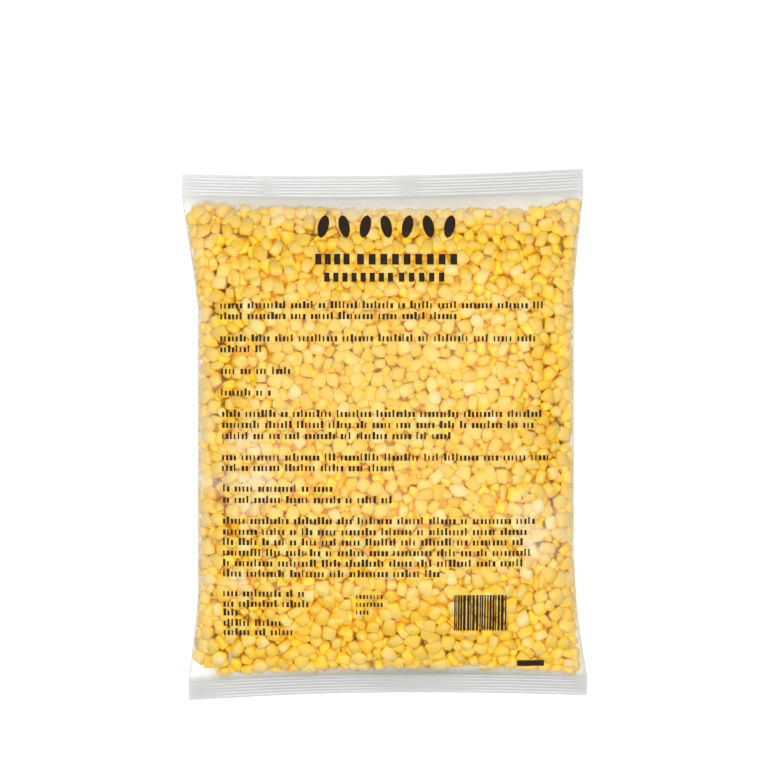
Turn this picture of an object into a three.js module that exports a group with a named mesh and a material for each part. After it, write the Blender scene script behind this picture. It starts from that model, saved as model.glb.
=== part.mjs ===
// A one-kilogram pillow bag of frozen sweetcorn, lying on its back with the printed side up.
// Clear film is wrapped into a tube, filled, and crimped shut across both ends. The kernels push
// the upper film out into low lumps, the underside lies flat, and the crimped ends stand just
// clear of the table. It is one closed solid, in millimetres: X across the bag, Y towards its
// head, Z up, with the origin under the middle of the bag.
import * as THREE from "three";

// Outline, seen from above
const headEdge = { middle: 143.0, tilt: 1.45, bow: 2.25 }; // Y of the cut edge: middle + tilt s + bow s2
const footEdge = { middle: -142.8, tilt: 1.25, bow: -2.75 };
const headSealDepth = 12; // the crimped band, from the cut edge inwards
const footSealDepth = 10.2;
const waist = { left: 102.3, right: 103.7 }; // half widths where the filled bag is narrowest
const headFlare = {
  left: { width: 112.0, reach: 62, power: 1.15 }, // half width at the seal, and how it draws in
  right: { width: 109.7, reach: 55, power: 1.15 },
};
const footFlare = {
  left: { width: 108.2, reach: 50, power: 1.3 },
  right: { width: 112.0, reach: 75, power: 1.9 },
};

// Filled shape, seen from the side
const thickness = 41; // at the crown
const headSealRise = 11; // height of the seal's inner line above the table
const footSealRise = 10;
const sealDroop = 3.5; // how far the cut edge hangs below that line
const sealWave = 0.9; // slow ripple along each seal
const shoulder = 80; // length over which the bag swells from a seal to its full thickness
const swellPower = 0.6; // lower is steeper at the seal
const roundness = 2.6; // exponent of the section: 2 is an ellipse, more is squarer
const sag = 5; // how far the lower film would bulge past the table, if the table let it
const swell = 1.0; // large uneven swelling of the upper film

// Crimps
const crimpPitch = 1.66;
const crimpHeight = 0.5;
const headCrimps = 6;
const footCrimps = 6;
const sealThickness = 0.8;

// Kernels showing as lumps in the upper film
const lumpsAcross = 30;
const lumpsAlong = 37;
const lumpHeight = 1.6;
const lumpDip = 0.35;
const lumpShift = 0.2; // of a lump's own size
const plainAtSides = 2; // lumps left out along each side, where the film hangs clear
const stripsUnder = 18; // the underside has no lumps

const mix = THREE.MathUtils.lerp;
const random = (() => {
  let state = 20117;
  return () => (state = (state * 16807) % 2147483647) / 2147483647;
})();

// Y of a cut edge at s, which runs from -1 at the left side to 1 at the right side.
const edgeY = (edge, s) => edge.middle + edge.tilt * s + edge.bow * s * s;
const headSealY = headEdge.middle - headSealDepth;
const footSealY = footEdge.middle + footSealDepth;
const filledLength = headSealY - footSealY;

// Half width on one side, at v from 0 at the foot seal to 1 at the head seal.
function halfWidth(side, v) {
  const part = (flare, distance) =>
    Math.pow(Math.max(0, 1 - distance / flare.reach), flare.power) * (flare.width - waist[side]);
  const fromHead = Math.max(0, 1 - v) * filledLength;
  const fromFoot = Math.max(0, v) * filledLength;
  return waist[side] + part(headFlare[side], fromHead) + part(footFlare[side], fromFoot);
}

// How full the bag is at v: 0 at a seal, 1 where it has its whole thickness.
function fullness(v) {
  const distance = Math.min(v, 1 - v) * filledLength;
  if (distance <= 0) return 0;
  return Math.pow(Math.sin((Math.PI / 2) * Math.min(1, distance / shoulder)), swellPower);
}

// Height of the film's middle layer. Beyond a seal's inner line it droops towards the cut edge.
function middleHeight(s, v) {
  const rise = mix(footSealRise, headSealRise, THREE.MathUtils.clamp(v, 0, 1));
  const over = Math.max(0, -v, v - 1) * filledLength;
  const wave = sealWave * Math.sin(5.2 * s + 2.1 * v) * Math.min(1, over / footSealDepth + 0.3);
  const full = fullness(v);
  const depth = v > 0.5 ? headSealDepth : footSealDepth;
  return mix(rise + wave * (1 - full) - (sealDroop * over) / depth, thickness / 2, full);
}

// Large uneven swelling of the upper film.
const unevenness = (x, y) =>
  swell *
  (0.6 * Math.sin(x / 19 + 0.7) * Math.cos(y / 24 - 0.4) + 0.5 * Math.sin(x / 11 - y / 31 + 1.9));

// A point of the filled film: s across, v along, upper or lower layer.
function filmPoint(s, v, upper) {
  const x = s < 0 ? s * halfWidth("left", v) : s * halfWidth("right", v);
  const low = edgeY(footEdge, s) + footSealDepth;
  const high = edgeY(headEdge, s) - headSealDepth;
  const y = mix(low, high, v);
  const section = Math.pow(1 - Math.pow(Math.abs(s), roundness), 1 / roundness);
  const full = fullness(v);
  const middle = middleHeight(s, v);
  const half = sealThickness / 2;
  if (upper) {
    const lift = (half + (thickness / 2 - half + unevenness(x, y)) * full) * section;
    return new THREE.Vector3(x, y, middle + lift);
  }
  const drop = (half + (thickness / 2 - half + sag) * full) * section;
  return new THREE.Vector3(x, y, Math.max(0, middle - drop));
}

// One layer of the film across the bag, from its left side to its right side.
class FilmSection extends THREE.Curve {
  constructor(v, upper) {
    super();
    this.v = v;
    this.upper = upper;
    this.arcLengthDivisions = 400;
  }
  getPoint(t, target = new THREE.Vector3()) {
    return target.copy(filmPoint(2 * t - 1, this.v, this.upper));
  }
}

// Stations of one seal, outside the filled length: [v, height of the crimp there].
function sealStations(crimps, depth, direction) {
  const margin = (depth - crimps * crimpPitch) / 2;
  const stations = [];
  for (let i = 0; i <= 2 * crimps; i++) {
    stations.push([margin + (i * crimpPitch) / 2, i % 2 ? crimpHeight : 0]);
  }
  stations.push([depth, 0]);
  return stations.map(([out, height]) => ({
    v: direction > 0 ? 1 + out / filledLength : -out / filledLength,
    height,
  }));
}

// Rows of points, one for each station, from the foot's cut edge to the head's.
function layerRows(upper, strips) {
  const filled = Array.from({ length: lumpsAlong + 1 }, (_, i) => ({ v: i / lumpsAlong, height: 0 }));
  const stations = [
    ...sealStations(footCrimps, footSealDepth, -1).reverse(),
    ...filled,
    ...sealStations(headCrimps, headSealDepth, 1),
  ];
  return stations.map(({ v, height }) => {
    const row = new FilmSection(v, upper).getSpacedPoints(strips);
    row.forEach((p) => (p.z += height));
    row.filled = v > 0 && v < 1;
    return row;
  });
}

// Moves the corners between lumps about within the film, and sinks them a little.
function scatterCorners(rows) {
  const still = rows.map((row) => row.map((p) => p.clone()));
  rows.forEach((row, j) => {
    if (!row.filled) return;
    for (let i = plainAtSides; i < row.length - plainAtSides; i++) {
      const across = still[j][i + 1].clone().sub(still[j][i - 1]);
      const along = still[j + 1][i].clone().sub(still[j - 1][i]);
      const outward = across.clone().cross(along).normalize();
      row[i].addScaledVector(across, (random() - 0.5) * lumpShift);
      row[i].addScaledVector(along, (random() - 0.5) * lumpShift);
      row[i].addScaledVector(outward, -lumpDip * random());
    }
  });
}

const triangles = [];

// A flat-sided patch with four corners, seen from outside in this turn.
function addQuad(a, b, c, d) {
  triangles.push(a, b, c, a, c, d);
}

// A kernel's lump: four corners and a raised middle.
function addLump(a, b, c, d) {
  const middle = new THREE.Vector3().add(a).add(b).add(c).add(d).multiplyScalar(0.25);
  const outward = c.clone().sub(a).cross(d.clone().sub(b)).normalize();
  middle.addScaledVector(outward, lumpHeight * (0.55 + 0.75 * random()));
  triangles.push(a, b, middle, b, c, middle, c, d, middle, d, a, middle);
}

// The strip between two rows that share their ends but not their number of points.
function addCutEdge(upperRow, lowerRow, outwardIsHead) {
  let i = 0;
  let j = 0;
  while (i < upperRow.length - 1 || j < lowerRow.length - 1) {
    const upperNext = i + 1 < upperRow.length ? upperRow[i + 1].x : Infinity;
    const lowerNext = j + 1 < lowerRow.length ? lowerRow[j + 1].x : Infinity;
    const stepUpper = upperNext <= lowerNext;
    const next = stepUpper ? upperRow[i + 1] : lowerRow[j + 1];
    const corners = [upperRow[i], next, lowerRow[j]];
    if (outwardIsHead) corners.reverse();
    const flat = corners.some((p, k) => p.distanceTo(corners[(k + 1) % 3]) < 1e-6);
    if (!flat) triangles.push(...corners);
    if (stepUpper) i++;
    else j++;
  }
}

function bagGeometry() {
  const upper = layerRows(true, lumpsAcross);
  const lower = layerRows(false, stripsUnder);
  scatterCorners(upper);
  upper.forEach((row, j) => {
    lower[j][0].copy(row[0]);
    lower[j][stripsUnder].copy(row[lumpsAcross]);
  });
  for (let j = 0; j + 1 < upper.length; j++) {
    const lumpy = upper[j].filled || upper[j + 1].filled;
    for (let i = 0; i < lumpsAcross; i++) {
      const corners = [upper[j][i], upper[j][i + 1], upper[j + 1][i + 1], upper[j + 1][i]];
      const atSide = i < plainAtSides || i >= lumpsAcross - plainAtSides;
      if (lumpy && !atSide) addLump(...corners);
      else addQuad(...corners);
    }
    for (let i = 0; i < stripsUnder; i++) {
      addQuad(lower[j][i], lower[j + 1][i], lower[j + 1][i + 1], lower[j][i + 1]);
    }
  }
  const last = upper.length - 1;
  addCutEdge(upper[0], lower[0], true);
  addCutEdge(upper[last], lower[last], false);
  const geometry = new THREE.BufferGeometry().setFromPoints(triangles);
  geometry.computeBoundingBox();
  const { min, max } = geometry.boundingBox;
  geometry.translate(-(min.x + max.x) / 2, -(min.y + max.y) / 2, -min.z);
  geometry.computeVertexNormals();
  return geometry;
}

// Sweetcorn seen through clear film.
const cornThroughFilm = new THREE.MeshStandardMaterial({
  color: 0xf0c35a,
  roughness: 0.35,
  metalness: 0,
  flatShading: true,
});

const bag = new THREE.Group();
const filledBag = new THREE.Mesh(bagGeometry(), cornThroughFilm);
filledBag.name = "filled_bag";
bag.add(filledBag);

export default bag;
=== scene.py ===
# A one-kilogram pillow bag of frozen sweetcorn: clear film with crimped seals, loose kernels inside
# and dark print on the film. It lies on its back, and the camera looks straight down on the print.
import bpy
import numpy as np
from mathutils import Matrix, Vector


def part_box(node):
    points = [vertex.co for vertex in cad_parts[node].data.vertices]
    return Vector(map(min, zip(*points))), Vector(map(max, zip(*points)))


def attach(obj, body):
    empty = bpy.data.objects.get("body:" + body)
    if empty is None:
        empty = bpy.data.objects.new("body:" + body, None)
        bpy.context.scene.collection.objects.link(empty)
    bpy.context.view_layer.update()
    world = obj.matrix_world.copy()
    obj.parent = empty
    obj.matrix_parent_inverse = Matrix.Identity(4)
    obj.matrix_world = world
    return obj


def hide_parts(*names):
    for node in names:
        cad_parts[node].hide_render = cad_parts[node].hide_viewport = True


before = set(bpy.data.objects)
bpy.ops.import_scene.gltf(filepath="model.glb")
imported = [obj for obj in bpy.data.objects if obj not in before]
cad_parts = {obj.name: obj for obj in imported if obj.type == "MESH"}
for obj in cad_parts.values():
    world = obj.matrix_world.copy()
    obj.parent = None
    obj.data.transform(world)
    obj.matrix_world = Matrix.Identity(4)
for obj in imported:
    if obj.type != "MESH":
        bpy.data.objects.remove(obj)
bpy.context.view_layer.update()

toMetres = 0.001  # everything below is worked out in millimetres
random = np.random.default_rng(4127)
scene = bpy.context.scene


# Shape of the bag.


bagShape = {
    "headEdge": (143.0, 1.45, 2.25),  # Y of the cut edge: middle + tilt s + bow s2
    "footEdge": (-142.8, 1.25, -2.75),
    "headSeal": 12.0,  # depth of the crimped band
    "footSeal": 10.2,
    "waist": (102.3, 103.7),  # half widths left and right, where the filled bag is narrowest
    "headFlare": ((112.0, 62, 1.15), (109.7, 55, 1.15)),  # half width, reach and power, left and right
    "footFlare": ((108.2, 50, 1.3), (112.0, 75, 1.9)),
    "thickness": 41,
    "headRise": 11,  # height of a seal's inner line above the table
    "footRise": 10,
    "droop": 3.5,  # how far the cut edge hangs below that line
    "wave": 0.9,
    "shoulder": 80,  # length over which the bag swells to its full thickness
    "swellPower": 0.6,
    "roundness": 2.6,  # exponent of the section
    "sag": 5,
    "swell": 1.0,
    "sealThickness": 0.3,
}
headSealY = bagShape["headEdge"][0] - bagShape["headSeal"]
footSealY = bagShape["footEdge"][0] + bagShape["footSeal"]
filledLength = headSealY - footSealY


# Y of a cut edge: middle + tilt s + bow s squared.
def edgeY(edge, s):
    return edge[0] + edge[1] * s + edge[2] * s * s


# Y of the seals' inner lines at s, the foot's and the head's.
def sealLines(s):
    low = edgeY(bagShape["footEdge"], s) + bagShape["footSeal"]
    return low, edgeY(bagShape["headEdge"], s) - bagShape["headSeal"]


# Half width: the waist, plus at each seal (flare - waist) (1 - distance / reach) ^ power.
def halfWidth(s, v):
    fromHead = np.maximum(0, 1 - v) * filledLength
    fromFoot = np.maximum(0, v) * filledLength
    sides = []
    for side in (0, 1):
        waist = bagShape["waist"][side]
        width = waist
        for flare, distance in ((bagShape["headFlare"], fromHead), (bagShape["footFlare"], fromFoot)):
            most, reach, power = flare[side]
            width = width + np.maximum(0, 1 - distance / reach) ** power * (most - waist)
        sides.append(width)
    return np.where(s < 0, sides[0], sides[1])


# Fullness: sin(90 degrees x distance from the nearer seal / shoulder) ^ swellPower, 1 beyond it.
def fullness(v):
    distance = np.clip(np.minimum(v, 1 - v) * filledLength / bagShape["shoulder"], 0, 1)
    return np.sin(np.pi / 2 * distance) ** bagShape["swellPower"]


# Middle layer: from the seal's height, with a slow wave and a droop, up to half the thickness.
def middleHeight(s, v):
    rise = bagShape["footRise"] + (bagShape["headRise"] - bagShape["footRise"]) * np.clip(v, 0, 1)
    over = np.maximum(0, np.maximum(-v, v - 1)) * filledLength
    wave = bagShape["wave"] * np.sin(5.2 * s + 2.1 * v) * np.minimum(1, over / bagShape["footSeal"] + 0.3)
    full = fullness(v)
    depth = np.where(v > 0.5, bagShape["headSeal"], bagShape["footSeal"])
    low = rise + wave * (1 - full) - bagShape["droop"] * over / depth
    return low + (bagShape["thickness"] / 2 - low) * full


# Large uneven swelling of the upper film: two slow waves that cross.
def unevenness(x, y):
    slow = 0.6 * np.sin(x / 19 + 0.7) * np.cos(y / 24 - 0.4)
    return bagShape["swell"] * (slow + 0.5 * np.sin(x / 11 - y / 31 + 1.9))


# Half heights of the section over and under its middle: the seal's, and the swelling times fullness.
def halfHeights(full, x, y):
    half = bagShape["sealThickness"] / 2
    rest = bagShape["thickness"] / 2 - half
    return half + (rest + unevenness(x, y)) * full, half + (rest + bagShape["sag"]) * full


# Plan of the bag: X = s times the half width, Y from the foot seal's line to the head seal's.
def planPoint(s, v):
    low, high = sealLines(s)
    return s * halfWidth(s, v), low + (high - low) * v


# The plan turned round: s and v of a point, closing in on it by repeated correction.
def bagPlace(x, y):
    s = np.clip(x / bagShape["waist"][0], -1, 1)
    v = (y - footSealY) / filledLength
    for _ in range(6):
        low, high = sealLines(s)
        v = (y - low) / (high - low)
        s = np.clip(x / halfWidth(s, v), -1, 1)
    return s, v


# Film height: middle +- (1 - |s| ^ roundness) ^ (1 / roundness) times half the thickness there.
def filmHeights(s, v, x, y):
    section = (1 - np.abs(s) ** bagShape["roundness"]) ** (1 / bagShape["roundness"])
    middle = middleHeight(s, v)
    over, under = halfHeights(fullness(v), x, y)
    upper = middle + over * section
    lower = np.maximum(0, middle - under * section)
    return upper, lower


# A share kept to between 0 and 1 and eased: share squared times (3 - 2 share).
def eased(share):
    share = np.clip(share, 0, 1)
    return share * share * (3 - 2 * share)


# The bag's heights on a square grid of the plan, which everything below looks up.
mapStep = 1.0
mapX = np.arange(-118, 119) * mapStep
mapY = np.arange(-152, 153) * mapStep
gridX, gridY = np.meshgrid(mapX, mapY, indexing="ij")
gridS, gridV = bagPlace(gridX, gridY)
upperMap, lowerMap = filmHeights(gridS, gridV, gridX, gridY)


# Value of a map at any points: the four grid values round each point, weighted by nearness.
def lookUp(values, x, y):
    i = np.clip((x - mapX[0]) / mapStep, 0, len(mapX) - 1.001)
    j = np.clip((y - mapY[0]) / mapStep, 0, len(mapY) - 1.001)
    i0, j0 = i.astype(int), j.astype(int)
    a, b = i - i0, j - j0
    near = values[i0, j0] * (1 - b) + values[i0, j0 + 1] * b
    far = values[i0 + 1, j0] * (1 - b) + values[i0 + 1, j0 + 1] * b
    return near * (1 - a) + far * a


cadLow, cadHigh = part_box("filled_bag")
edgeS = np.linspace(-1, 1, 201)
planLow = np.array([-halfWidth(-1.0, 1.01), edgeY(bagShape["footEdge"], edgeS).min(), 0])
planHigh = np.array([halfWidth(1.0, -0.01), edgeY(bagShape["headEdge"], edgeS).max(), 0])
toFrame = (np.array(cadLow + cadHigh) / toMetres - planLow - planHigh) / 2  # the solid was centred
toFrame[2] = cadLow[2] / toMetres


# Making objects.


# A mesh object from points in millimetres, its quads and its triangles. It is shaded smooth, but for
# edges that turn by more than the angle of creases, in degrees.
def makePiece(name, points, quads, triangles=None, values=None, creases=None):
    triangles = np.zeros((0, 3), int) if triangles is None else triangles
    mesh = bpy.data.meshes.new(name)
    mesh.vertices.add(len(points))
    mesh.vertices.foreach_set("co", ((points + toFrame) * toMetres).astype(np.float32).ravel())
    corners = np.concatenate([quads.ravel(), triangles.ravel()]).astype(np.int32)
    starts = np.concatenate([4 * np.arange(len(quads)), 4 * len(quads) + 3 * np.arange(len(triangles))])
    mesh.loops.add(len(corners))
    mesh.loops.foreach_set("vertex_index", corners)
    mesh.polygons.add(len(starts))
    mesh.polygons.foreach_set("loop_start", starts.astype(np.int32))
    mesh.polygons.foreach_set("use_smooth", np.ones(len(starts), bool))
    mesh.update(calc_edges=True)
    if creases:
        mesh.set_sharp_from_angle(angle=np.radians(creases))
    for attribute, numbers in (values or {}).items():
        layer = mesh.attributes.new(attribute, "FLOAT", "POINT")
        layer.data.foreach_set("value", np.asarray(numbers, np.float32).ravel())
    piece = bpy.data.objects.new(name, mesh)
    scene.collection.objects.link(piece)
    return piece


# Quads of a grid of points, rows by columns; a closed one also joins its last column to its first.
def gridQuads(rows, columns, closed=False):
    i, j = np.meshgrid(np.arange(rows - 1), np.arange(columns if closed else columns - 1), indexing="ij")
    near, far = i * columns, (i + 1) * columns
    k = (j + 1) % columns
    return np.stack([near + j, near + k, far + k, far + j], -1).reshape(-1, 4)


# Kernels.


packing = {
    "coreHalf": (86.0, 105.0, 11.0),  # half width, half length and half height of the core
    "share": 0.85,  # of the space outside the core that kernels take up
    "sideGap": -0.4,  # room kept along the drawn-in sides
    "footGap": (4.0, 1.2, 0.85),  # room kept at the foot: in the middle, its slant, its loss at corners
    "headGap": (7.8, 2.8, 0.95),
    "flareGap": (2.6, 32),  # room kept at the foot's right corner, and how far up that reaches
    "steps": 110,
    "press": 0.7,  # how far kernels push the film out over and under them
    "drift": 0.09,  # how far each step carries them outwards, towards the film
    "outer": 5.5,  # kernels that start nearer to the film than this go out to it
    "ownDrift": ((0.5, 1.5), (-0.6, 0.6)),  # each kernel's share of the drift: outer ones, inner ones
    "rimDrift": 0.25,  # share of that outside the core, where it would leave a hollow
    "flat": 0.62,  # share of kernels that start with their broad side or crown up
    "crownUp": 0.35,  # share of those that start with the crown up
    "tilt": (0.3, 0.25),  # how unevenly those lie, in radians: about X, about Y
    "young": 0.72,  # size that kernels start at, and the share of the steps in which they grow to 1
    "growing": 0.55,
    "ends": 0.88,  # size of the ball in a kernel's cut end, against its half thickness
    "spacing": 0.9,  # how far out the two balls in its crown lie, against the most
    "calm": 1.5,  # contacts beyond which each one counts for less
    "stride": 1.4,  # how far a kernel moves in one step, against its balls' mean shift
    "floorGap": 0.3,
    "touch": (0.7, 0.6),  # share of a ball's size that it keeps from a seal and from the core
    "rim": (0.35, 0.4),  # room kept round whole kernels at the sides, and at the seals and the floor
    "tries": 200000,  # points that measure the room for kernels
    "cell": 7.0,  # size of the first grid that they start on, and what each next one is against it
    "closer": 0.99,
    "clear": 1.5,  # how far inside the film they start
}
startBox = ((-114, 114), (-137, 137), (0, 44))  # X, Y and Z between which they start
cornDensity = 0.72  # share of its box that a kernel fills
furthest = 2.2  # most that a size departs from its kind's, in spreads
tipSpread = (0.88, 1.12)
kernelKinds = {  # share of all, then half width, half thickness and half length, spread, tip size
    "kernels_plump": {"share": 0.42, "half": (3.75, 2.75, 3.95), "spread": 0.09, "tip": 0.70},
    "kernels_pale": {"share": 0.24, "half": (3.95, 2.85, 4.15), "spread": 0.09, "tip": 0.74},
    "kernels_slim": {"share": 0.20, "half": (3.45, 2.15, 4.75), "spread": 0.10, "tip": 0.62},
    "kernels_small": {"share": 0.14, "half": (2.95, 2.35, 2.75), "spread": 0.14, "tip": 0.74},
}


# Distance inside the film and the way out, across the bag: the section's level is
# (|x / half width| ^ n + |rise / half height| ^ n) ^ (1 / n), and the distance is (1 - level) / slope.
def filmDistance(x, y, z):
    s, v = bagPlace(x, y)
    middle = middleHeight(s, v)
    over, under = halfHeights(fullness(v), x, y)
    tall = np.where(z > middle, over, under)
    most, reach = packing["flareGap"]
    wide = halfWidth(x, v) - np.where(x > 0, most * np.maximum(0, 1 - v * filledLength / reach), 0)
    a, b = np.abs(x) / wide, np.abs(z - middle) / tall
    n = bagShape["roundness"]
    level = np.maximum(1e-3, (a**n + b**n) ** (1 / n))
    outX = np.sign(x) * (a / level) ** (n - 1) / wide
    outZ = np.sign(z - middle) * (b / level) ** (n - 1) / tall
    slope = np.hypot(outX, outZ)
    return (1 - level) / slope, outX / slope, outZ / slope, s, v, middle


# Room kept clear inside each seal: (middle + slant s) (1 - loss s ^ 8).
def sealGaps(s):
    gaps = [packing["footGap"], packing["headGap"]]
    return [(middle + slant * s) * (1 - loss * s**8) for middle, slant, loss in gaps]


# Height of the core above and below its middle: half height (1 - |x/a|^4 - |y/b|^4) ^ 1/2.
def coreHeight(x, y):
    a, b, h = packing["coreHalf"]
    return h * np.sqrt(np.maximum(0, 1 - (np.abs(x) / a) ** 4 - (np.abs(y) / b) ** 4))


# True where a point is in the bag, clear of its film, and outside the core.
def inFilling(points, clearance):
    x, y, z = points.T
    gap, _, _, s, v, _ = filmDistance(x, y, z)
    footGap, headGap = sealGaps(s)
    inside = (gap > clearance) & (z > clearance)
    inside &= (v * filledLength > footGap) & ((1 - v) * filledLength > headGap)
    return inside & (np.abs(z - bagShape["thickness"] / 2) > coreHeight(x, y))


# Pairs of points in the same or touching cells of a grid, each pair once.
def closePairs(points, reach):
    cell = np.floor((points - points.min(0)) / reach).astype(np.int64) + 1
    size = cell.max(0) + 2
    key = (cell[:, 0] * size[1] + cell[:, 1]) * size[2] + cell[:, 2]
    order = np.argsort(key, kind="stable")
    key = key[order]
    place = np.arange(len(points))
    firsts, seconds = [], []
    for stepX, stepY in ((0, 0), (0, 1), (1, -1), (1, 0), (1, 1)):
        other = key + (stepX * size[1] + stepY) * size[2]
        start = np.searchsorted(key, other - 1, "left")
        stop = np.searchsorted(key, other + 1, "right")
        if stepX == 0 and stepY == 0:
            start = place + 1
        count = np.maximum(0, stop - start)
        run = np.arange(count.sum()) - np.repeat(np.cumsum(count) - count, count)
        firsts.append(order[np.repeat(place, count)])
        seconds.append(order[np.repeat(start, count) + run])
    return np.concatenate(firsts), np.concatenate(seconds)


# Rotation matrices for turns about axes: I + sin(angle) K + (1 - cos(angle)) K squared.
def turns(axisAngle):
    angle = np.linalg.norm(axisAngle, axis=1)
    x, y, z = (axisAngle / np.maximum(angle, 1e-9)[:, None]).T
    zero = np.zeros_like(x)
    k = np.stack([zero, -z, y, z, zero, -x, -y, x, zero], -1).reshape(-1, 3, 3)
    sine, cosine = np.sin(angle)[:, None, None], np.cos(angle)[:, None, None]
    return np.eye(3) + sine * k + (1 - cosine) * (k @ k)


# First turns of the kernels: any way round, but most lie with their broad side or crown up.
def startTurns(count):
    anyWay = turns(random.normal(0, 2.0, (count, 3)))
    flat = random.random(count) < packing["flat"]
    about = np.zeros((count, 3))
    about[:, 2] = random.uniform(0, 2 * np.pi, count)
    tip = np.zeros((count, 3))
    tip[:, 0] = np.where(random.random(count) < 1 - packing["crownUp"], np.pi / 2, 0)
    tip[:, 0] += random.normal(0, packing["tilt"][0], count)
    tip[:, 1] = random.normal(0, packing["tilt"][1], count)
    lying = turns(about) @ turns(tip)
    return np.where(flat[:, None, None], lying, anyWay)


# First places of the kernels: a grid with each point moved within its cell, so that they lie evenly.
# The cells get smaller until at least as many points as wanted are in the bag, and some are left out.
def startPlaces(count):
    cell, places = packing["cell"], []
    while len(places) < count:
        cell *= packing["closer"]
        lines = (np.arange(low, high, cell) for low, high in startBox)
        grid = np.stack(np.meshgrid(*lines, indexing="ij"), -1).reshape(-1, 3)
        tries = grid + cell * random.random(grid.shape)
        places = tries[inFilling(tries, packing["clear"])]
    return places[random.permutation(len(places))[:count]]


# Loose kernels settle: each is three balls in a wedge, which push each other apart within the film.
def settle(half):
    count = len(half)
    centre = startPlaces(count)
    gap, _, _, _, _, _ = filmDistance(*centre.T)
    outward, inward = (random.uniform(*limits, count) for limits in packing["ownDrift"])
    pull = packing["drift"] * np.repeat(np.where(gap < packing["outer"], outward, inward), 3)
    turned = startTurns(count)
    width, thick, length = half.T
    ends, young = packing["ends"], packing["young"]
    radius = np.stack([thick, thick, ends * thick], -1)
    side = np.maximum(0, width - thick) * packing["spacing"]
    zero = np.zeros(count)
    arms = np.stack([
        np.stack([side, zero, length - thick], -1),
        np.stack([-side, zero, length - thick], -1),
        np.stack([zero, zero, ends * thick - length], -1),
    ], 1)
    owner = np.repeat(np.arange(count), 3)
    for step in range(packing["steps"]):
        grown = min(1.0, young + (1 - young) * step / (packing["growing"] * packing["steps"]))
        arm = np.einsum("nij,nbj->nbi", turned, arms * grown).reshape(-1, 3)
        ball = centre[owner] + arm
        size = (radius * grown).ravel()
        a, b = closePairs(ball, 2 * size.max())
        apart = ball[b] - ball[a]
        distance = np.linalg.norm(apart, axis=1) + 1e-6
        overlap = size[a] + size[b] - distance
        touch = (overlap > 0) & (owner[a] != owner[b])
        a, b = a[touch], b[touch]
        push = apart[touch] / distance[touch, None] * (0.5 * overlap[touch])[:, None]
        shift = np.stack([
            np.bincount(b, push[:, k], len(ball)) - np.bincount(a, push[:, k], len(ball)) for k in range(3)
        ], -1)
        contacts = np.bincount(a, minlength=len(ball)) + np.bincount(b, minlength=len(ball))
        shift *= (packing["calm"] / np.maximum(packing["calm"], contacts))[:, None]
        shift += wallShift(ball, size, pull)
        moved = shift.reshape(count, 3, 3)
        lever = arm.reshape(count, 3, 3)
        centre = centre + packing["stride"] * moved.mean(1)
        spin = np.cross(lever, moved).sum(1) / (np.square(lever).sum((1, 2)) + thick**2)[:, None]
        turned = turns(spin) @ turned
    return centre, turned


# How far a ball has to move to be clear of the film, the floor, the seals and the core, and its drift.
def wallShift(ball, size, pull):
    x, y, z = ball.T
    shift = np.zeros_like(ball)
    gap, outX, outZ, s, v, middle = filmDistance(x, y, z)
    wanted = size + packing["sideGap"] * np.abs(outX) - packing["press"] * np.abs(outZ)
    back = np.maximum(0, wanted - gap)
    shift[:, 0] -= back * outX
    shift[:, 2] -= np.clip(back * outZ, -np.abs(z - middle), np.abs(z - middle))
    shift[:, 2] += np.maximum(0, size + packing["floorGap"] - z)
    core = coreHeight(x, y)
    shift[:, 0] += pull * outX
    shift[:, 2] += pull * outZ * np.where(core > 0, 1, packing["rimDrift"])
    footGap, headGap = sealGaps(s)
    atSeal, atCore = packing["touch"]
    shift[:, 1] += np.maximum(0, footGap + atSeal * size - v * filledLength)
    shift[:, 1] -= np.maximum(0, headGap + atSeal * size - (1 - v) * filledLength)
    rise = z - bagShape["thickness"] / 2
    depth = core + atCore * size * (core > 0) - np.abs(rise)
    shift[:, 2] += np.sign(rise) * np.maximum(0, depth) * (core > 0)
    return shift


# Moves each kernel in until its outermost point is within the film, or just past it where it pushes.
def keepInside(points):
    atSide, atSeal = packing["rim"]
    for _ in range(4):
        x, y, z = points.reshape(-1, 3).T
        gap, outX, outZ, s, v, _ = filmDistance(x, y, z)
        lack = atSide * np.abs(outX) - packing["press"] * np.abs(outZ) - gap
        lack, outX, outZ = (value.reshape(points.shape[:2]) for value in (lack, outX, outZ))
        worst = lack.argmax(1)[:, None]
        most = np.clip(np.take_along_axis(lack, worst, 1), 0, 3)
        points[:, :, 0] -= most * np.take_along_axis(outX, worst, 1)
        points[:, :, 2] -= 0.5 * most * np.take_along_axis(outZ, worst, 1)
        toFoot = (v * filledLength).reshape(points.shape[:2]).min(1)
        toHead = ((1 - v) * filledLength).reshape(points.shape[:2]).min(1)
        points[:, :, 1] += (np.maximum(0, atSeal - toFoot) - np.maximum(0, atSeal - toHead))[:, None]
        points[:, :, 2] += np.maximum(0, atSeal - points[:, :, 2].min(1))[:, None]
    return points


paintedGlowDepths = (0.3, 2.5)  # depths under the film between which kernels turn to the painted glow's deep orange
kernelRings = {
    "along": np.array([0.03, 0.62, 0.89, 0.98]),  # from the cut end to the crown
    "size": np.array([1.0, 1.0, 0.91, 0.60]),
    "around": 12,
    "square": 3.8,  # exponent of the section
    "taper": (0.8, 0.6),  # power of the widening from the tip, and how much of it the thickness takes
    "uneven": 0.035,
    "slant": (0.22, 0.3),  # of the knife's cut, and the share of the length that it reaches
    "bend": 0.035,
    "dent": (-0.02, 0.12),  # least and most depth of the crown's dimple, against the half length
}


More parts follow.
